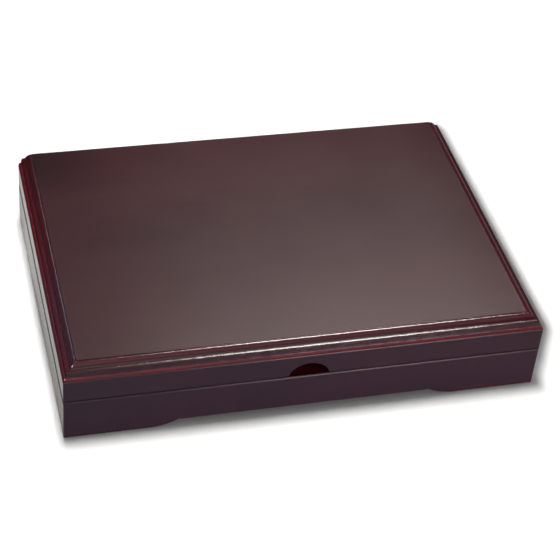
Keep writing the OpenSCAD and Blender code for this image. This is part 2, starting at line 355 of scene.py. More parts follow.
def cardMaterial():
    # plain glow that paints the reflection of the floor and of the shade beside the case: the colours of the
    # front and right parts, and those of the strip on the left
    material = bpy.data.materials.new("reflectionCard")
    material.use_nodes = True
    tree = material.node_tree
    tree.nodes.clear()
    x, y = axesOf(tree, objectCoords(tree))[:2]
    near, right, inner = card["near"], card["right"], card["stripIn"]
    away = mapRange(tree, y, near, near - card["openAt"], 0.0, 1.0)
    front = mixColour(tree, away, card["shaded"], card["open"])
    beside = mapRange(tree, x, right, right + card["besideAt"], 0.0, 1.0)
    front = mixColour(tree, beside, front, card["beside"])
    toBack = mapRange(tree, y, *card["stripTurn"], 0.0, 1.0, smooth=True)
    strip = mixColour(tree, toBack, card["stripFront"], card["stripRear"])
    outward = mapRange(tree, x, card["stripPales"], card["stripOut"], 0.0, 1.0)
    strip = mixColour(tree, outward, strip, card["stripBright"])
    onStrip = times(tree, mathNode(tree, "LESS_THAN", x, inner), mathNode(tree, "GREATER_THAN", y, near))
    glow = addNode(tree, "ShaderNodeEmission")
    wire(tree, mixColour(tree, onStrip, front, strip), glow.inputs["Color"])
    wire(tree, glow.outputs[0], addNode(tree, "ShaderNodeOutputMaterial").inputs[0])
    return material


def reflectionCard():
    # flat parts on the floor that only reflections see: before the case and right of it they look like a dim
    # studio floor, and a narrow strip along the case's left side looks like the shade beside it
    reach, near, right = card["reach"], card["near"], card["right"]
    outer, inner, back = card["stripOut"], card["stripIn"], card["stripBack"]
    slanting = [(card["left"], near), (-reach, near - card["slant"])]
    outlines = [
        [(-reach, -reach), (reach, -reach), (reach, near), *slanting],
        [(right, near), (reach, near), (reach, reach), (right, reach)],
        [(outer, near), (inner, near), (inner, back), (outer, back)],
    ]
    points = [(x, y, card["z"]) for outline in outlines for x, y in outline]
    starts = np.cumsum([0] + [len(outline) for outline in outlines])
    faces = [range(a, b) for a, b in zip(starts[:-1], starts[1:])]
    made = meshObject("reflectionCard", points, faces, cardMaterial(), smooth=False)
    hideFrom(made, "camera", "diffuse", "shadow", "transmission", "volume_scatter")
    return made


reflectionCard()

flagPlan = {
    "height": 0.05,
    # along the case's right side, out to the right, round the back and in again at the back left corner
    "outline": [
        (0.1655, -0.106), (0.1905, -0.06), (0.1888, 0.19),
        (-0.15, 0.19), (-0.161, 0.118), (0.1655, 0.118),
    ],
    "faces": [(0, 1, 2, 5), (2, 3, 4, 5)],
    "cloth": ((0.01, 0.01, 0.01), (0.02, 0.02, 0.02)),
}


def flag():
    # a black flag low beside the case, unseen itself: it keeps the key light off the floor right and behind
    points = [(x, y, flagPlan["height"]) for x, y in flagPlan["outline"]]
    material, tree, shader = newMaterial("flagCloth", 1.0)
    weave = noiseAt(tree, objectCoords(tree), 900, 2)
    wire(tree, mixColour(tree, weave, *flagPlan["cloth"]), shader["Base Color"])
    made = meshObject("flag", points, flagPlan["faces"], material, smooth=False)
    hideFrom(made, "camera", "glossy", "transmission", "volume_scatter")
    return made


flag()

sky = {"camera": (1.0, 1.0, 1.0), "diffuse": (0.25,) * 3, "gloss": (0.03,) * 3}

world = bpy.data.worlds.new("studioSky")
bpy.context.scene.world = world
world.use_nodes = True
worldTree = world.node_tree
worldTree.nodes.clear()
rays = addNode(worldTree, "ShaderNodeLightPath").outputs
skyLight = addNode(worldTree, "ShaderNodeBackground")
unseen = mixColour(worldTree, rays["Is Diffuse Ray"], sky["gloss"], sky["diffuse"])
wire(worldTree, mixColour(worldTree, rays["Is Camera Ray"], unseen, sky["camera"]), skyLight.inputs["Color"])
wire(worldTree, skyLight.outputs[0], addNode(worldTree, "ShaderNodeOutputWorld").inputs[0])
bpy.context.scene.view_settings.view_transform = "Standard"
print("studio set up")


# effects that several finishes share

lacquer = {
    "dark": (0.0135, 0.003, 0.005),
    "light": (0.030, 0.0062, 0.009),
    "warm": (0.046, 0.0075, 0.0105),
    "pore": (0.006, 0.002, 0.003),
    "thick": (0.006, 0.0015, 0.0025),  # on the panel towards its back left corner, darker than elsewhere
    # the colour of the painted shade in the gap between lid and base
    "paintedShade": (0.004, 0.002, 0.003),
    # red: where the stain is worn through on the panel's band and the upright corners, and painted shade
    # along the bottom of the base and in the left recesses
    "bareRedAndShade": (0.112, 0.010, 0.015),
    # pale arris colour: partly wear, partly a painted highlight along the arrises
    "wearHighlight": (0.3, 0.21, 0.23),
    # purple painted reflection on the front half of the left moulding
    "leftReflection": (0.02, 0.013, 0.022),
    "inside": (0.12, 0.012, 0.016),  # inner faces and the notch: stain without the dark top coats
    "ior": 1.5,
    "rubRough": {"Low": 0.33, "High": 0.355},
    "railRough": {"Low": 0.17, "High": 0.24},
    "mouldRough": 0.5,  # share of the field's roughness that the moulding has
    "peelHeight": 0.00001,  # height of the orange peel on the rails, in metres
    "waves": 170,  # the moulding's unevenness from hand polishing: waves a metre and their height in metres
    "waveHeight": 0.0002,
    "easedSlope": 0.2,  # how far the face has fallen away at the gap, as a share of the reach of the painted shade there
    "wearHighlightX": 0.05,  # the pale arrises are strongest around this x: wear, and a painted highlight that is brightest there
    "wearHighlightReach": (0.02, 0.17),  # distances from there over which that falls to its least
    # towards three edges of the field its roughness drops: axis, from, to, share left
    "lessRubbed": ((0, -0.03, -0.165, 0.84), (0, 0.11, 0.165, 0.88), (1, 0.05, 0.1175, 0.93)),
}
figureOutputs = ("Bands", "Fibres", "Pores")


def makeWoodFigure():
    # grain along X: broad bands, fine fibres and short pores
    tree, given, out = newGroup("woodFigure", {}, figureOutputs)
    vector = given["Vector"]
    wire(tree, noiseAt(tree, vector, 1.0, 4, 0.55, (2.2, 26, 26)), out["Bands"])
    wire(tree, noiseAt(tree, vector, 1.0, 5, 0.6, (14, 520, 520)), out["Fibres"])
    pores = noiseAt(tree, vector, 1.0, 2, 0.5, (130, 2400, 2400))
    wire(tree, mapRange(tree, pores, 0.62, 0.72, 0.0, 1.0), out["Pores"])
    return tree


def makeDarkStain():
    # stain over the wood's figure: grain from dark to light, warm blotches and nearly black pores
    grain = {"Bands": 0.5, "Fibres": 0.5, "Pores": 0.0}
    blotches = {"Blotch From": 0.35, "Blotch Least": 0.0, "Blotch Most": 0.6}
    tree, given, out = newGroup("darkStain", {**grain, **blotches}, (), ("Colour",))
    tone = plus(tree, times(tree, given["Bands"], 0.6), times(tree, given["Fibres"], 0.4))
    base = mixColour(tree, mapRange(tree, tone, 0.3, 0.7, 0.0, 1.0), lacquer["dark"], lacquer["light"])
    blotch = noiseAt(tree, given["Vector"], 9, 2, 0.5)
    warmth = mapRange(tree, blotch, given["Blotch From"], 0.75, given["Blotch Least"], given["Blotch Most"])
    base = mixColour(tree, warmth, base, lacquer["warm"])
    wire(tree, mixColour(tree, times(tree, given["Pores"], 0.5), base, lacquer["pore"]), out["Colour"])
    return tree


def makeWearHighlightSpread():
    # how pale the arrises turn, partly wear and partly painted highlight: 1 around the brightest x, falling
    # to Least along X
    tree, given, out = newGroup("wearHighlightSpread", {"Least": 0.1}, ("WearHighlightShare",))
    fromThumb = unsigned(tree, minus(tree, axesOf(tree, given["Vector"])[0], lacquer["wearHighlightX"]))
    wearHighlightShare = mapRange(tree, fromThumb, *lacquer["wearHighlightReach"], 1.0, given["Least"], smooth=True)
    wire(tree, wearHighlightShare, out["WearHighlightShare"])
    return tree


def makeArrisWearAndHighlight():
    # Rim: a pale mark on the arris round the case, partly wear and partly painted highlight; Corner: wear at
    # the upright corners
    # how near a point is to the arris round the case at one height, or to its upright corners, broken up by
    # noise; the distance from an edge is the root of the summed squares of the distances from its faces
    numbers = {"Level": case["rimZ"], "Reach": 0.0006, "Wear": 0.5}
    tree, given, out = newGroup("arrisWearAndHighlight", numbers, ("Rim", "Corner"))
    x, y, z = axesOf(tree, given["Vector"])
    dx = unsigned(tree, minus(tree, case["halfWidth"], unsigned(tree, x)))
    dy = unsigned(tree, minus(tree, case["halfDepth"], unsigned(tree, y)))
    dz = minus(tree, z, given["Level"])

    def closeness(a, b):
        # 1 on the edge itself, 0 from Reach on
        gap = mathNode(tree, "SQRT", plus(tree, times(tree, a, a), times(tree, b, b)))
        return mapRange(tree, gap, 0.0, given["Reach"], 1.0, 0.0, smooth=True)

    broken = noiseAt(tree, given["Vector"], 1.0, 4, 0.65, (180, 180, 700))
    low = minus(tree, 0.75, times(tree, given["Wear"], 0.6))
    wearHighlight = mapRange(tree, broken, low, plus(tree, low, 0.18), 0.0, 1.0)
    wire(tree, times(tree, closeness(mathNode(tree, "MINIMUM", dx, dy), dz), wearHighlight), out["Rim"])
    wire(tree, times(tree, closeness(dx, dy), wearHighlight), out["Corner"])
    return tree


def makeGapShade():
    # the first result is painted shade: how near a point of the outer faces is to the gap between lid and
    # base, with a ragged edge; Fall: how far the face falls away below the gap; Inside: 1 on the inner faces
    numbers = {"Level": case["lidZ"], "Reach": 0.0005}
    tree, given, out = newGroup("gapShade", numbers, ("Shade", "Fall", "Inside"))
    x, y, z = axesOf(tree, given["Vector"])
    dx = minus(tree, case["halfWidth"], unsigned(tree, x))
    dy = minus(tree, case["halfDepth"], unsigned(tree, y))
    inset = mathNode(tree, "MINIMUM", dx, dy)
    outer = mapRange(tree, inset, 0.0006, 0.0012, 1.0, 0.0, smooth=True)
    wire(tree, mapRange(tree, inset, 0.001, 0.004, 0.0, 1.0, smooth=True), out["Inside"])
    away = unsigned(tree, minus(tree, z, given["Level"]))
    ragged = mapRange(tree, noiseAt(tree, given["Vector"], 300, 3, 0.6), 0.3, 0.7, 0.8, 1.2)
    share = mathNode(tree, "DIVIDE", away, times(tree, given["Reach"], ragged))
    near = mapRange(tree, share, 0.7, 1.0, 1.0, 0.0, smooth=True)
    wire(tree, times(tree, near, outer), out["Shade"])
    # from one reach below the gap up to it the face falls away, by the square of the share of the way
    below = mathNode(tree, "DIVIDE", minus(tree, given["Level"], z), given["Reach"])
    wayUp = mapRange(tree, below, 0.0, 1.0, 1.0, 0.0)
    deepest = times(tree, given["Reach"], lacquer["easedSlope"])
    wire(tree, times(tree, times(tree, times(tree, wayUp, wayUp), deepest), outer), out["Fall"])
    return tree


def makeLacquerSkin():
    # faint orange peel and finger marks: a height and a roughness that change over the surface
    tree, given, out = newGroup("lacquerSkin", {"Low": 0.25, "High": 0.33}, ("Height", "Roughness"))
    peel = noiseAt(tree, given["Vector"], 420, 2, 0.5)
    broad = noiseAt(tree, given["Vector"], 45, 2, 0.5)
    wire(tree, plus(tree, times(tree, peel, 0.35), times(tree, broad, 0.65)), out["Height"])
    marks = noiseAt(tree, given["Vector"], 16, 5, 0.6)
    wire(tree, mapRange(tree, marks, 0.3, 0.7, given["Low"], given["High"]), out["Roughness"])
    return tree


woodFigure = makeWoodFigure()
darkStain = makeDarkStain()
wearHighlightSpread = makeWearHighlightSpread()
arrisWearAndHighlight = makeArrisWearAndHighlight()
gapShade = makeGapShade()
lacquerSkin = makeLacquerSkin()


def stainColour(tree, coords, along, blotch):
    # the stained wood's colour, with its grain on the vector along
    figure = placeGroup(tree, woodFigure, along)
    grain = {key: figure[key] for key in figureOutputs}
    return placeGroup(tree, darkStain, coords, **grain, **blotch)["Colour"]


# rails

rails = {
    "blotch": {"Blotch From": 0.35, "Blotch Least": 0.0, "Blotch Most": 0.6},
    "leastWearHighlight": 0.1,
    # the arrises that turn pale, partly wear and partly painted highlight
    "lidArris": {"Level": case["panelZ"], "Reach": 0.0007, "Wear": 0.9},
    "baseArris": {"Level": case["rimZ"] - 1 * mm, "Reach": 0.0008, "Wear": 0.95},
    "rimShare": 0.8,  # how strong the pale colour of wear and painted highlight is at most, here and at the corners and inner faces
    "corner": {"Reach": 0.0009, "Wear": 0.35},
    "cornerShare": 0.6,
    "redBottomZ": (0.0055, 0.0015),  # below these heights the rails start to be, and are fully, red: painted shade
    "redBottomShare": (-0.1, 0.15, 0.15, 0.55),  # x where the share starts to grow, x where it stops, least, most
    "insideShare": 0.75,
    "frontShade": 0.0005,  # how far the painted shade at the gap reaches up and down
    "sideShade": 0.0032,
}


def lacquerMaterial(name, turn, arris, shadeReach):
    # dark stain under satin lacquer; turn lays the grain along the rail
    material, tree, shader = newMaterial(name, lacquer["railRough"]["Low"], IOR=lacquer["ior"])
    coords = objectCoords(tree)
    base = stainColour(tree, coords, objectCoords(tree, turn), rails["blotch"])
    # the arrises beside the opening turn pale, partly wear and partly painted highlight, most around the
    # brightest x
    wearHighlightShare = placeGroup(tree, wearHighlightSpread, coords, Least=rails["leastWearHighlight"])["WearHighlightShare"]
    rim = placeGroup(tree, arrisWearAndHighlight, coords, **arris)["Rim"]
    base = mixColour(tree, times(tree, times(tree, rim, wearHighlightShare), rails["rimShare"]), base, lacquer["wearHighlight"])
    # painted shade: the rails turn red along the bottom, more so towards the right, where their faces reflect
    # the shaded floor
    place = axesOf(tree, coords)
    low = mapRange(tree, place["Z"], *rails["redBottomZ"], 0.0, 1.0, smooth=True)
    toRight = mapRange(tree, place["X"], *rails["redBottomShare"])
    base = mixColour(tree, times(tree, low, toRight), base, lacquer["bareRedAndShade"])
    corner = placeGroup(tree, arrisWearAndHighlight, coords, **rails["corner"])["Corner"]
    base = mixColour(tree, times(tree, corner, rails["cornerShare"]), base, lacquer["bareRedAndShade"])
    gap = placeGroup(tree, gapShade, coords, Reach=shadeReach)
    base = mixColour(tree, times(tree, gap["Inside"], rails["insideShare"]), base, lacquer["inside"])
    # painted shade beside the gap between lid and base; its roughness there takes the reflections away
    wire(tree, mixColour(tree, gap["Shade"], base, lacquer["paintedShade"]), shader["Base Color"])
    skin = placeGroup(tree, lacquerSkin, coords, **lacquer["railRough"])
    wire(tree, mapRange(tree, gap["Shade"], 0.0, 1.0, skin["Roughness"], 1.0), shader["Roughness"])
    height = minus(tree, times(tree, skin["Height"], lacquer["peelHeight"]), gap["Fall"])
    bumpInto(tree, shader, height, 1.0, 1.0)
    return material


quarter = math.radians(90)
for part in ("lid", "base"):
    arris = rails[f"{part}Arris"]
    lengthwise = lacquerMaterial(f"{part}RailLacquer", 0, arris, rails["frontShade"])
    crosswise = lacquerMaterial(f"{part}SideLacquer", quarter, arris, rails["sideShade"])
    paint(lengthwise, f"{part}_front_rail", f"{part}_back_rail")
    paint(crosswise, f"{part}_left_rail", f"{part}_right_rail")
print("rails finished")


# moulded lid panel

panel = {  # lengths in millimetres, from the rail's face inwards
    "thick": 8.9,
    "noseInset": 0.4,
    "noseLand": 0.2,
    "noseRadius": 1.7,
    "riser": 0.7,
    "ledge": 2.5,
    "ledgeSlope": 8,  # degrees
    "ledgeSwell": 0.12,
    "quirk": 0.3,
    "beadRadius": 5.7,
    "beadHeight": 2.6,
    "beadEndDeg": 73,
    "step": 0.4,
    "fieldRoll": 0.7,
    "rollDeg": 22,
    "fieldStart": 13.5,
    "outerCorner": 0.7,
    "innerCorner": 0.4,
    "cornerSteps": 6,
    "sideSteps": 24,
    "dull": (0.3, 4.3),  # insets between which the left side has painted shade below the height given next
    "shadeBelow": 56.25,
    "shadeQuirk": (5.1, 6.3),  # insets between which it has painted shade at any height
}
panelLook = {
    "blotch": {"Blotch From": 0.3, "Blotch Least": 0.15, "Blotch Most": 0.5},
    "leastWearHighlight": 0.15,
    # distances from the back left corner within which the panel is darkest and from which it is as usual,
    # and the least share of the usual colour
    "cornerFade": (0.015, 0.08, 0.3),
    "leftDarker": 0.35,  # share of the dark colour painted over the red on the left moulding as shade
    "leftReflectionAlong": (0.04, -0.07, 0.0, 0.6),  # y where the painted reflection starts to grow, y where it stops, least, most
    "mitreBlend": 0.0006,
    "peelShare": 0.05,  # how high the orange peel stands beside the moulding's waves
    "shine": 0.5,  # strength of the reflections, and the same in the left recesses, where painted shade takes them away
    "shadeShine": 0.0,
    "shadeRed": 0.25,
}


def panelColour(tree, coords, place, marks, shadeRedShare):
    # stain, darker towards the back left corner, and red where the band is rubbed; the left moulding, past
    # the mitre's line, is darkened by painted shade and has a faint painted reflection on its front half; the
    # last argument is an even share of red, painted shade in the left recesses
    base = stainColour(tree, coords, coords, panelLook["blotch"])
    fromCorner = addNode(tree, "ShaderNodeVectorMath", operation="DISTANCE")
    wire(tree, coords, fromCorner.inputs[0])
    fromCorner.inputs[1].default_value = (-case["halfWidth"], case["halfDepth"], case["topZ"])
    cornerFade = mapRange(tree, fromCorner.outputs["Value"], *panelLook["cornerFade"], 1.0, smooth=True)
    base = mixColour(tree, cornerFade, lacquer["thick"], base)
    streaks = mapRange(tree, noiseAt(tree, coords, 1.0, 4, 0.6, (28, 28, 900)), 0.3, 0.6, 0.35, 1.0)
    base = mixColour(tree, times(tree, marks["band"], streaks), base, lacquer["bareRedAndShade"])
    mitre = case["halfWidth"] - case["halfDepth"]
    pastMitre = minus(tree, place[1], place[0])
    left = mapRange(tree, pastMitre, mitre, mitre + panelLook["mitreBlend"], 0.0, 1.0, smooth=True)
    # painted shade darkens the left moulding, and a purple painted reflection lies on its front half
    onLeft = times(tree, marks["gloss"], left)
    base = mixColour(tree, times(tree, onLeft, panelLook["leftDarker"]), base, lacquer["dark"])
    inFront = mapRange(tree, place[1], *panelLook["leftReflectionAlong"], smooth=True)
    base = mixColour(tree, times(tree, onLeft, inFront), base, lacquer["leftReflection"])
    return mixColour(tree, shadeRedShare, base, lacquer["bareRedAndShade"])


def panelRoughness(tree, place, gloss, roughness):
    # the moulding is smoother than the field, and the field is smoother towards three of its edges
    share = 1.0
    for axis, near, far, smoother in lacquer["lessRubbed"]:
        share = times(tree, share, mapRange(tree, place[axis], near, far, 1.0, smoother, smooth=True))
    return times(tree, roughness, mapRange(tree, gloss, 0.0, 1.0, share, lacquer["mouldRough"]))


def panelMaterial(name, shine, shadeRedShare):
    # the panel's finish also follows three attributes of its mesh: "arris" on its edges, "band" where the red
    # shows, "gloss" on the moulding; shine is the strength of its reflections
    specular = {"IOR": lacquer["ior"], "Specular IOR Level": shine}
    material, tree, shader = newMaterial(name, lacquer["rubRough"]["Low"], **specular)
    marks = {}
    for key in ("arris", "band", "gloss"):
        marks[key] = addNode(tree, "ShaderNodeAttribute", attribute_name=key).outputs["Fac"]
    coords = objectCoords(tree)
    place = axesOf(tree, coords)
    base = panelColour(tree, coords, place, marks, shadeRedShare)
    broken = mapRange(tree, noiseAt(tree, coords, 1.0, 4, 0.65, (160, 160, 700)), 0.42, 0.6, 0.3, 0.8)
    wearHighlightShare = placeGroup(tree, wearHighlightSpread, coords, Least=panelLook["leastWearHighlight"])["WearHighlightShare"]
    # the panel's arrises turn pale: partly wear, partly a painted highlight, most around the brightest x
    arrisWearHighlight = times(tree, times(tree, marks["arris"], broken), wearHighlightShare)
    wire(tree, mixColour(tree, arrisWearHighlight, base, lacquer["wearHighlight"]), shader["Base Color"])
    skin = placeGroup(tree, lacquerSkin, coords, **lacquer["rubRough"])
    wire(tree, panelRoughness(tree, place, marks["gloss"], skin["Roughness"]), shader["Roughness"])
    waves = times(tree, noiseAt(tree, coords, lacquer["waves"], 3, 0.5), marks["gloss"])
    height = plus(tree, times(tree, skin["Height"], panelLook["peelShare"]), waves)
    bumpInto(tree, shader, height, 1.0, lacquer["waveHeight"])
    return material


def arc(centre, radius, fromDeg, toDeg, steps):
    # points of a circle from one angle to another, angles from +u towards +v
    a = np.radians(np.linspace(fromDeg, toDeg, steps + 1))
    return np.stack([centre[0] + radius * np.cos(a), centre[1] + radius * np.sin(a)], 1)


def panelSection():
    # outline of the moulded edge: u inwards from the rail's face, v up from the underside, in millimetres;
    # beside each point: how much of an arris it is, how red it is rubbed, and how glossy it is;
    # short steps ease the corners
    p = panel
    slope = math.tan(math.radians(p["ledgeSlope"]))
    inset, land, r, top = p["noseInset"], p["noseLand"], p["noseRadius"], p["thick"]
    noseU, noseV = inset + r, land + r
    ledgeU = noseU + p["riser"]
    quirkU = ledgeU + p["ledge"]
    crownV = top - p["step"]
    quirkV = crownV - p["beadHeight"] - p["quirk"]
    ledgeV = quirkV - p["ledge"] * slope
    beadWidth = math.sqrt(p["beadRadius"] ** 2 - (p["beadRadius"] - p["beadHeight"]) ** 2)
    crownU = quirkU + beadWidth
    beadStart = math.degrees(math.acos(-beadWidth / p["beadRadius"]))
    rows = []

    def add(points, arris=0.0, band=0.0, gloss=1.0):
        rows.extend((u, v, arris, band, gloss) for u, v in np.atleast_2d(points))

    add([(p["fieldStart"], 0), (inset + 1.5, 0), (inset + 0.2, 0)], gloss=0)
    add([(inset + 0.05, 0.04), (inset, 0.15)], 0.1, 0.8)
    nose = arc((noseU, land), r, 180, 91, 14)
    add(nose[:9], 0.0, 1.0)
    add(nose[9:12], 0.0, 0.8)
    add(nose[12:], 0.7, 0.3)
    add([(noseU + 0.03, noseV + 0.06), (noseU + 0.09, noseV + 0.3)], 0.4, 0.1)
    add([(noseU + p["riser"] / 2, (noseV + ledgeV) / 2), (ledgeU - 0.09, ledgeV - 0.4)], 0.2)
    add([(ledgeU - 0.03, ledgeV - 0.17), (ledgeU + 0.05, ledgeV - 0.03)], 0.25)
    # the ledge swells a little in its middle, so it catches light along a line and not over its whole width
    share = np.linspace(0.06, 0.94, 9)
    swell = p["ledgeSwell"] * 4 * share * (1 - share)
    add(np.stack([ledgeU + share * p["ledge"], ledgeV + share * p["ledge"] * slope + swell], 1))
    add([(quirkU - 0.02, quirkV + 0.04), (quirkU, quirkV + p["quirk"] * 0.6)])
    bead = arc((crownU, crownV - p["beadRadius"]), p["beadRadius"], beadStart, p["beadEndDeg"], 18)
    add(bead[:6], 0.0, 0.05)
    add(bead[6:], 0.0, 0.22)
    # the step up to the field, which starts with a small roll
    roll, turned = p["fieldRoll"], p["rollDeg"]
    add([(crownU, crownV - 0.06), (crownU + 0.03, top - 0.12)])
    rollU = crownU + 0.06 + roll * math.sin(math.radians(turned))
    add(arc((rollU, top - roll), roll, 90 + turned, 91, 6), 0.1)
    add([(crownU + 0.5, top)], gloss=0.3)
    add([(crownU + 0.9, top), (p["fieldStart"], top)], gloss=0)
    return np.array(rows)


def shadeLeftRecesses(mesh):
    # painted shade: the recesses of the left side take the second material, which has no reflections and more
    # red
    count = len(mesh.polygons)
    centres = np.empty(count * 3, np.float32)
    sides = np.empty(count, np.int32)
    mesh.polygons.foreach_get("center", centres)
    mesh.polygons.foreach_get("loop_total", sides)
    x, y, z = centres.reshape(-1, 3).T / mm
    inset = x + case["halfWidth"] / mm
    (outer, inner), (quirkOuter, quirkInner) = panel["dull"], panel["shadeQuirk"]
    lowDown = (outer < inset) & (inset < inner) & (z < panel["shadeBelow"])
    inQuirk = (quirkOuter < inset) & (inset < quirkInner)
    onLeft = y > inset - case["halfDepth"] / mm
    dull = (sides == 4) & onLeft & (lowDown | inQuirk)
    mesh.polygons.foreach_set("material_index", dull.astype(np.int32))


def mouldedPanel():
    # the outline is carried down the left side, along the front and up the right side; a point at inset u
    # runs on the rectangle that lies u inside the case's outline, whose front corners are arcs of radius r,
    # wider outside than inside
    section = panelSection()
    u, v = section[:, 0], section[:, 1]
    x, y = case["halfWidth"] / mm, case["halfDepth"] / mm
    r = np.interp(u, (u.min(), panel["fieldStart"]), (panel["outerCorner"], panel["innerCorner"]))
    along = np.linspace(0, 1, panel["sideSteps"] + 1)
    columns = []

    def side(sx, t):
        columns.append((sx * (x - u), y + t * (u + r - 2 * y)))

    def corner(sx, fromDeg):
        for a in np.radians(np.linspace(fromDeg, fromDeg + 90, panel["cornerSteps"] + 1)):
            columns.append((sx * (x - u - r) + r * math.cos(a), -y + u + r + r * math.sin(a)))

    for t in along[:-1]:
        side(-1, t)
    corner(-1, 180)
    for t in along[1:-1]:
        columns.append(((x - u - r) * (2 * t - 1), -y + u))
    corner(1, 270)
    for t in along[-2::-1]:
        side(1, t)
    grid = np.array([np.stack([px, py, v], 1) for px, py in columns])
    stations, count = grid.shape[:2]
    points = grid.reshape(-1, 3) * mm + (0, 0, case["panelZ"])
    index = np.arange(stations * count).reshape(stations, count)
    field = index[:, -1].tolist()
    under = index[::-1, 0].tolist()
    backFace = index[0, :].tolist() + index[-1, ::-1].tolist()
    glossy = panelMaterial("panelLacquer", panelLook["shine"], 0.0)
    made = meshObject("moulded_panel", points, [*gridQuads(index), field, under, backFace], glossy)
    # the second material paints shade: no reflections, and more red
    made.data.materials.append(panelMaterial("leftShadeRecess", panelLook["shadeShine"], panelLook["shadeRed"]))
    shadeLeftRecesses(made.data)
    for name, column in (("arris", 2), ("band", 3), ("gloss", 4)):
        attribute = made.data.attributes.new(name, "FLOAT", "POINT")
        attribute.data.foreach_set("value", np.tile(section[:, column], stations).astype(np.float32))
    return made


mouldedTop = mouldedPanel()
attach(mouldedTop, "lid")
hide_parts("lid_panel")
print("panel moulded:", len(mouldedTop.data.polygons), "faces")


# velvet, felt, plain woods and brass

def makeNap():
    # velvet pile: fine tufts, and broad patches where the pile leans another way
    tree, given, out = newGroup("velvetNap", {}, ("Tufts", "Lean"))
    wire(tree, noiseAt(tree, given["Vector"], 2600, 2, 0.6), out["Tufts"])
    wire(tree, noiseAt(tree, given["Vector"], 30, 3, 0.55), out["Lean"])
    return tree


velvetNap = makeNap()


def pileMaterial(name, deep, lit, sheen, sheenWeight):
    # pile fabric: matt, with a constant sheen; the colour follows tufts and lean
    cloth = {
        "Sheen Weight": sheenWeight,
        "Sheen Roughness": 0.4,
        "Sheen Tint": (*sheen, 1),
        "Specular IOR Level": 0.1,
    }
    material, tree, shader = newMaterial(name, 0.95, **cloth)
    nap = placeGroup(tree, velvetNap, objectCoords(tree))
    tone = plus(tree, times(tree, nap["Tufts"], 0.45), times(tree, nap["Lean"], 0.55))
    wire(tree, mixColour(tree, mapRange(tree, tone, 0.3, 0.7, 0.0, 1.0), deep, lit), shader["Base Color"])
    wire(tree, mapRange(tree, nap["Lean"], 0.3, 0.7, 0.85, 1.0), shader["Roughness"])
    bumpInto(tree, shader, nap["Tufts"], 0.5, 0.00012)
    return material


pileColours = {  # deep in the pile, on the lit tufts, and the sheen
    "wineVelvet": ((0.035, 0.0025, 0.0065), (0.085, 0.006, 0.016), (0.75, 0.22, 0.3)),
    "darkFelt": ((0.006, 0.006, 0.008), (0.02, 0.02, 0.024), (0.5, 0.5, 0.55)),
}
wineVelvet = pileMaterial("wineVelvet", *pileColours["wineVelvet"], 0.55)
darkFelt = pileMaterial("darkFelt", *pileColours["darkFelt"], 0.25)

tray = {  # in millimetres
    "halfWidth": 153.7,
    "halfDepth": 106.2,
    "wall": 3.0,
    "divider": 3.0,
    "columns": 6,
    "rows": 4,
    "skinLow": 17.8,
    "skinHigh": 18.6,
    "low": 18.6,
    "high": 28.6,
    "slot": 3.2,  # width of a halving slot
    "round": 0.7,  # radius of a strip's top edges
    "ease": 0.3,  # bevel along a strip's lower edges
    "crown": 0.35,
    "crownRise": 12,  # the skin's crown is full from 1/12 of a well inwards
}
wellHalfX, wellHalfY = tray["halfWidth"] - tray["wall"], tray["halfDepth"] - tray["wall"]
pitchX = (2 * wellHalfX + tray["divider"]) / tray["columns"]
pitchY = (2 * wellHalfY + tray["divider"]) / tray["rows"]
dividerX = -wellHalfX + pitchX * np.arange(1, tray["columns"]) - tray["divider"] / 2
dividerY = -wellHalfY + pitchY * np.arange(1, tray["rows"]) - tray["divider"] / 2


def velvetPiece(made, node, body="base"):
    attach(made, body)
    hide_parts(node)


def wrappedStrip(name, along, centre, reach, slots=(), slotSide="top"):
    # a velvet-wrapped strip: a section with rounded top edges is carried from -reach to +reach;
    # at each slot the section's top (or its bottom) moves to half height, which leaves the halving slot
    low, high, r, ease = tray["low"], tray["high"], tray["round"], tray["ease"]
    middle, w = (low + high) / 2, tray["divider"] / 2
    whole = (low, high)
    cut = (low, middle) if slotSide == "top" else (middle, high)
    stations = [(-reach, *whole)]
    for place in slots:
        start, end = place - tray["slot"] / 2, place + tray["slot"] / 2
        stations += [(start, *whole), (start, *cut), (end, *cut), (end, *whole)]
    stations.append((reach, *whole))
    # the section goes up the right side, over the top and down the left side; a point has a distance across,
    # follows the strip's top (1) or bottom (0), and has a height from there
    corner = [(across, 1, dz) for across, dz in arc((w - r, -r), r, 0, 90, 4)]
    right = np.array([(w - ease, 0, 0), (w, 0, ease), *corner])
    across, onTop, dz = np.vstack([right, right[::-1] * (-1, 1, 1)]).T
    s, lowZ, highZ = (column[:, None] for column in np.array(stations).T)
    z = np.where(onTop > 0, highZ, lowZ) + dz
    s = np.broadcast_to(s, z.shape)
    if along == "x":
        points = np.stack([s, np.broadcast_to(centre + across, z.shape), z], -1)
    else:
        points = np.stack([np.broadcast_to(centre - across, z.shape), s, z], -1)
    index = np.arange(z.size).reshape(z.shape)
    faces = [*gridQuads(closedRings(index), flip=True), index[0, ::-1], index[-1]]
    return meshObject(name, points.reshape(-1, 3) * mm, faces, wineVelvet, sharpDeg=60, merge=True)


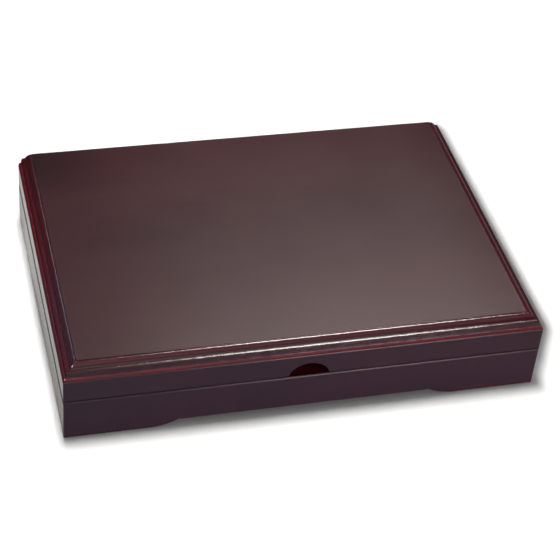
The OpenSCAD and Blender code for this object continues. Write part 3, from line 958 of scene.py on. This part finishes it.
for number, y in enumerate(dividerY, 1):
    strip = wrappedStrip(f"velvet_long_divider_{number}", "x", y, wellHalfX, dividerX, "top")
    velvetPiece(strip, f"long_divider_{number}")
for number, x in enumerate(dividerX, 1):
    strip = wrappedStrip(f"velvet_cross_divider_{number}", "y", x, wellHalfY, dividerY, "bottom")
    velvetPiece(strip, f"cross_divider_{number}")
for side, sign in (("front", -1), ("back", 1)):
    wallY = sign * (tray["halfDepth"] - tray["wall"] / 2)
    velvetPiece(wrappedStrip(f"velvet_{side}_wall", "x", wallY, tray["halfWidth"]), f"tray_{side}_wall")
for side, sign in (("left", -1), ("right", 1)):
    wallX = sign * (tray["halfWidth"] - tray["wall"] / 2)
    velvetPiece(wrappedStrip(f"velvet_{side}_wall", "y", wallX, wellHalfY), f"tray_{side}_wall")


def crownedSheet(name, xs, ys, topZ, lowZ):
    # a closed slab over the grid xs by ys: topZ is its upper surface, lowZ its flat underside
    nx, ny = len(xs), len(ys)
    gx, gy = np.meshgrid(xs, ys, indexing="ij")
    top = np.stack([gx, gy, topZ], -1).reshape(-1, 3)
    index = np.arange(nx * ny).reshape(nx, ny)
    ring = np.concatenate([index[:, 0], index[-1, 1:], index[-2::-1, -1], index[0, -2:0:-1]])
    rim = top[ring].copy()
    rim[:, 2] = lowZ
    under = nx * ny + np.arange(len(ring))
    skirt = np.stack([under, np.roll(under, -1), np.roll(ring, -1), ring], -1)
    faces = [*gridQuads(index), *skirt, under[::-1]]
    return meshObject(name, np.vstack([top, rim]) * mm, faces, wineVelvet, sharpDeg=60)


def wellStations(count, pitch, half, edge):
    # grid lines along one side of the tray, close together beside the dividers, and how far the skin has
    # risen at each: steeply from every divider, then level
    t = np.array([0, 0.012, 0.04, 0.09, 0.18, 0.34, 0.5, 0.66, 0.82, 0.91, 0.96, 0.988, 1])
    starts = -half + pitch * np.arange(count)
    lines = (starts[:, None] + t * (pitch - tray["divider"])).ravel()
    lift = np.tile(np.clip(np.minimum(t, 1 - t) * tray["crownRise"], 0, 1), count)
    return np.concatenate([[-edge], lines, [edge]]), np.concatenate([[0.0], lift, [0.0]])


gridX, liftX = wellStations(tray["columns"], pitchX, wellHalfX, tray["halfWidth"])
gridY, liftY = wellStations(tray["rows"], pitchY, wellHalfY, tray["halfDepth"])
crown = tray["crown"] * np.sin(np.outer(liftX, liftY) * math.pi / 2)
skin = crownedSheet("velvet_skin", gridX, gridY, tray["skinHigh"] + crown, tray["skinLow"])
velvetPiece(skin, "tray_velvet")

lining = {  # in millimetres
    "halfWidth": 153.7,
    "halfDepth": 106.2,
    "top": 50.6,
    "low": 47.6,
    "edge": ((0.6, 0.0), (0.15, 0.25)),  # insets of the glued edge and how far each lies below the top
    "rollFrom": 0.5,  # below the top the rolled edge starts here
    "roll": 5.0,
    "rollRings": 9,
    "dome": 0.35,
    "pull": 0.175,
    "domeRings": (0.9, 0.75, 0.55, 0.35, 0.15),  # shares of the way out from the middle
    "sideSteps": 40,
}


def paddedLining():
    # a padded board, full side down: rings run inwards from the glued edge over a soft rolled edge, which is
    # a quarter of an ellipse, to a middle that falls off with the cube of the distance from its centre; each
    # ring is a rectangle whose sides pull in a little between the corners
    top, low, roll, steps = lining["top"], lining["low"], lining["roll"], lining["sideSteps"]
    x, y = lining["halfWidth"], lining["halfDepth"]
    q = np.linspace(-1, 1, steps + 1)[:-1]
    ones = np.ones(steps)
    ringX = np.concatenate([q, ones, -q, -ones])
    ringY = np.concatenate([-ones, q, ones, -q])
    pull = lining["pull"] * (1 - np.minimum(ringX ** 2, ringY ** 2))
    deep = top - low - lining["dome"] - lining["rollFrom"]
    rows = [(inset, 1.0, top - below) for inset, below in lining["edge"]]
    rows += [(roll * (1 - math.cos(t)), 1.0, top - lining["rollFrom"] - deep * math.sin(t))
             for t in np.linspace(0, math.pi / 2, lining["rollRings"])]
    rows += [(roll, share, low + lining["dome"] * share ** 3) for share in lining["domeRings"]]
    inset, share, z = (column[:, None] for column in np.array(rows).T)
    px = ringX * (x - inset - pull) * share
    py = ringY * (y - inset - pull) * share
    rings = np.stack([px, py, np.broadcast_to(z, px.shape)], -1).reshape(-1, 3)
    points = np.vstack([rings, (0, 0, low)]) * mm
    index = closedRings(np.arange(px.size).reshape(px.shape))
    last = index[-1]
    fan = np.stack([last[:-1], np.full(px.shape[1], px.size), last[1:]], -1)
    faces = [*gridQuads(index), *fan, index[0, :-1]]
    return meshObject("padded_lining", points, faces, wineVelvet, sharpDeg=70)


padding = paddedLining()
velvetPiece(padding, "lid_lining", "lid")

felt = {"radius": 6.0, "thick": 1.2, "inset": 12.0, "edge": 0.35, "innerRing": 2.5, "around": 48}


def feltPad(name, x, y):
    # a turned disc: the outline (radius, height) goes round the pad's own axis, with soft edges
    r, thick, edge = felt["radius"], felt["thick"], felt["edge"]
    outline = [(felt["innerRing"], 0), (r - edge * 1.4, 0), (r - edge * 0.5, edge * 0.25), (r - 0.05, edge)]
    outline += [(r, thick * 0.5), (r, thick - 0.1), (r - 0.15, thick)]
    angles = np.arange(felt["around"]) * 2 * math.pi / felt["around"]
    q, z = (column[:, None] for column in np.array(outline).T)
    px, py = x + q * np.cos(angles), y + q * np.sin(angles)
    points = np.stack([px, py, np.broadcast_to(z, px.shape)], -1).reshape(-1, 3) * mm
    index = np.arange(px.size).reshape(px.shape)
    faces = [*gridQuads(closedRings(index), flip=True), index[0, ::-1], index[-1]]
    return meshObject(name, points, faces, darkFelt, sharpDeg=60)


corners = ((-1, -1), (1, -1), (1, 1), (-1, 1))
for number, (sx, sy) in enumerate(corners, 1):
    centreX = sx * (case["halfWidth"] / mm - felt["inset"])
    centreY = sy * (case["halfDepth"] / mm - felt["inset"])
    pad = feltPad(f"felt_foot_{number}", centreX, centreY)
    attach(pad, "base")
    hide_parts(f"felt_pad_{number}")
print("velvet and felt made")

dryWoodRough = (0.55, 0.7)
brassColours = ((0.72, 0.5, 0.2), (0.3, 0.17, 0.07))  # bright and tarnished


def plainWood(name, dark, light, turn=0.0):
    # unfinished wood: grain, pores and a dry surface
    material, tree, shader = newMaterial(name, dryWoodRough[0])
    figure = placeGroup(tree, woodFigure, objectCoords(tree, turn))
    tone = plus(tree, times(tree, figure["Bands"], 0.5), times(tree, figure["Fibres"], 0.5))
    base = mixColour(tree, mapRange(tree, tone, 0.3, 0.7, 0.0, 1.0), dark, light)
    deep = tuple(c * 0.35 for c in dark)
    wire(tree, mixColour(tree, times(tree, figure["Pores"], 0.6), base, deep), shader["Base Color"])
    wire(tree, mapRange(tree, figure["Fibres"], 0.3, 0.7, *dryWoodRough), shader["Roughness"])
    bumpInto(tree, shader, figure["Fibres"], 0.4, 0.00008)
    return material


def brassMaterial(name, rough, dull):
    # brushed brass with a faint brown tarnish
    material, tree, shader = newMaterial(name, rough[0], Metallic=1.0)
    coords = objectCoords(tree)
    brushed = noiseAt(tree, coords, 1.0, 3, 0.6, (60, 2600, 2600))
    tarnish = noiseAt(tree, coords, 140, 4, 0.6)
    base = mixColour(tree, mapRange(tree, tarnish, 0.45, 0.75, 0.0, dull), *brassColours)
    wire(tree, base, shader["Base Color"])
    wire(tree, mapRange(tree, brushed, 0.3, 0.7, *rough), shader["Roughness"])
    bumpInto(tree, shader, brushed, 0.3, 0.00003)
    return material


paint(plainWood("plywood", (0.33, 0.2, 0.1), (0.5, 0.34, 0.19)), "base_floor")
blocks = [f"corner_block_{number}" for number in range(1, 5)]
paint(plainWood("blockWood", (0.3, 0.17, 0.08), (0.46, 0.29, 0.15), quarter), *blocks)
paint(plainWood("trayWood", (0.16, 0.09, 0.045), (0.27, 0.16, 0.085)), "tray_board")
leaves = [f"hinge_{side}_{part}_leaf" for side in ("left", "right") for part in ("base", "lid")]
paint(brassMaterial("hingeBrass", (0.24, 0.36), 0.5), *leaves)
pins = ["hinge_left_pin", "hinge_right_pin"]
paint(brassMaterial("pinBrass", (0.2, 0.3), 0.8), *pins, "base_hinge_screws", "lid_hinge_screws")
print("inner finishes set")
